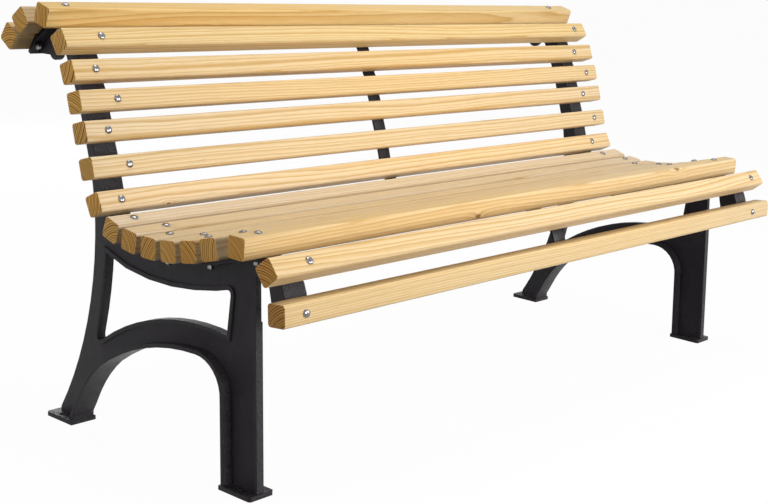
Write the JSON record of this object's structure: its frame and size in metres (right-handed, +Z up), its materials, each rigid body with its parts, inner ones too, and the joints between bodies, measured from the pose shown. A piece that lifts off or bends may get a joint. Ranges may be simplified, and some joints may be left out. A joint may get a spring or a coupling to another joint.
{
  "type": "park bench",
  "caption": "Slatted park bench with a rolled crest, reclined back and dished seat of square pine slats bolted to black cast iron side frames with arched legs and a centre strap.",
  "frame": {"origin": "on the ground under the middle of the bench's box", "axes": "+X along the bench's length, -Y the way a sitter faces, +Z up"},
  "size_m": [1.8, 0.8388, 0.8588],
  "materials": {
    "pine": "planed pine, satin, slightly oiled",
    "iron": "black satin paint over a sand casting",
    "strap": "black satin paint on flat bar",
    "bolts": "bright zinc plate"
  },
  "bodies": {
    "root": {"left_side_frame": "iron", "right_side_frame": "iron", "centre_strap": "strap", "crest_slat_rear_lower": "pine", "crest_slat_rear_upper": "pine", "crest_slat_top": "pine", "crest_slat_front": "pine", "back_slat_1": "pine", "back_slat_2": "pine", "back_slat_3": "pine", "back_slat_4": "pine", "back_slat_5": "pine", "seat_slat_1": "pine", "seat_slat_2": "pine", "seat_slat_3": "pine", "seat_slat_4": "pine", "seat_slat_5": "pine", "seat_slat_6": "pine", "seat_slat_7": "pine", "front_slat_upper": "pine", "front_slat_lower": "pine", "left_bolt_crest_slat_rear_lower": "bolts", "right_bolt_crest_slat_rear_lower": "bolts", "left_bolt_crest_slat_rear_upper": "bolts", "right_bolt_crest_slat_rear_upper": "bolts", "left_bolt_crest_slat_top": "bolts", "right_bolt_crest_slat_top": "bolts", "left_bolt_crest_slat_front": "bolts", "right_bolt_crest_slat_front": "bolts", "left_bolt_back_slat_1": "bolts", "right_bolt_back_slat_1": "bolts", "left_bolt_back_slat_2": "bolts", "right_bolt_back_slat_2": "bolts", "left_bolt_back_slat_3": "bolts", "right_bolt_back_slat_3": "bolts", "left_bolt_back_slat_4": "bolts", "right_bolt_back_slat_4": "bolts", "left_bolt_back_slat_5": "bolts", "right_bolt_back_slat_5": "bolts", "left_bolt_seat_slat_1": "bolts", "right_bolt_seat_slat_1": "bolts", "left_bolt_seat_slat_2": "bolts", "right_bolt_seat_slat_2": "bolts", "left_bolt_seat_slat_3": "bolts", "right_bolt_seat_slat_3": "bolts", "left_bolt_seat_slat_4": "bolts", "right_bolt_seat_slat_4": "bolts", "left_bolt_seat_slat_5": "bolts", "right_bolt_seat_slat_5": "bolts", "left_bolt_seat_slat_6": "bolts", "right_bolt_seat_slat_6": "bolts", "left_bolt_seat_slat_7": "bolts", "right_bolt_seat_slat_7": "bolts", "left_bolt_front_slat_upper": "bolts", "right_bolt_front_slat_upper": "bolts", "left_bolt_front_slat_lower": "bolts", "right_bolt_front_slat_lower": "bolts"}
  },
  "joints": []
}
